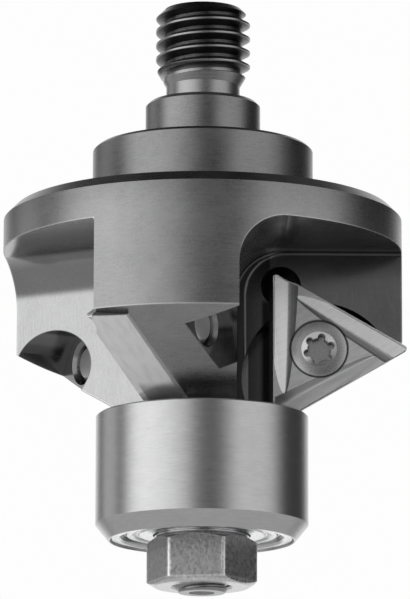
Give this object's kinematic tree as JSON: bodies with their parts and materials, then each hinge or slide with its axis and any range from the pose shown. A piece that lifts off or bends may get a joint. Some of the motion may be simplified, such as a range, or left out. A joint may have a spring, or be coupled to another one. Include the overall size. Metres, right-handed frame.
{
  "type": "insert tool holder",
  "caption": "Screw-on bevelling head with triangular cutting inserts on screws and a ball-bearing guide roller below them.",
  "frame": {"origin": "centre of the annular face of the hub that seats on the spindle", "axes": "+Z along the axis of rotation towards the spindle, +X through the insert of the first station"},
  "size_m": [0.0419, 0.0414, 0.0618],
  "materials": {
    "head_steel": "turned, milled and blackened, satin",
    "insert_carbide": "ground",
    "screw_steel": "satin",
    "roller_steel": "ground, fine marks round the axis",
    "bearing_steel": "ground",
    "ball_steel": "polished",
    "cage_steel": "pressed",
    "shield_steel": "pressed, satin",
    "nut_steel": "cold formed, satin"
  },
  "bodies": {
    "head": {"cutter_body": "head_steel", "clamp_nut": "nut_steel", "upper_inner_ring": "bearing_steel", "lower_inner_ring": "bearing_steel", "insert_1": "insert_carbide", "insert_screw_1": "screw_steel", "insert_2": "insert_carbide", "insert_screw_2": "screw_steel", "insert_3": "insert_carbide", "insert_screw_3": "screw_steel"},
    "roller": {"guide_roller": "roller_steel", "upper_outer_ring": "bearing_steel", "lower_outer_ring": "bearing_steel", "upper_bearing_top_shield": "shield_steel", "upper_bearing_bottom_shield": "shield_steel", "lower_bearing_top_shield": "shield_steel", "lower_bearing_bottom_shield": "shield_steel"},
    "upper_ball_set": {"upper_balls": "ball_steel", "upper_cage": "cage_steel"},
    "lower_ball_set": {"lower_balls": "ball_steel", "lower_cage": "cage_steel"}
  },
  "joints": [
    {"name": "roller_spin", "type": "hinge", "parent": "head", "child": "roller", "pos_m": [0, 0, -0.0351], "axis": [0, 0, 1], "continuous": true},
    {"name": "upper_ball_set_spin", "type": "hinge", "parent": "head", "child": "upper_ball_set", "pos_m": [0, 0, -0.0321], "axis": [0, 0, 1], "continuous": true},
    {"name": "lower_ball_set_spin", "type": "hinge", "parent": "head", "child": "lower_ball_set", "pos_m": [0, 0, -0.0381], "axis": [0, 0, 1], "continuous": true}
  ],
  "couplings": [
    {"joint": "upper_ball_set_spin", "follows": "roller_spin", "ratio": 0.64},
    {"joint": "lower_ball_set_spin", "follows": "roller_spin", "ratio": 0.64}
  ]
}
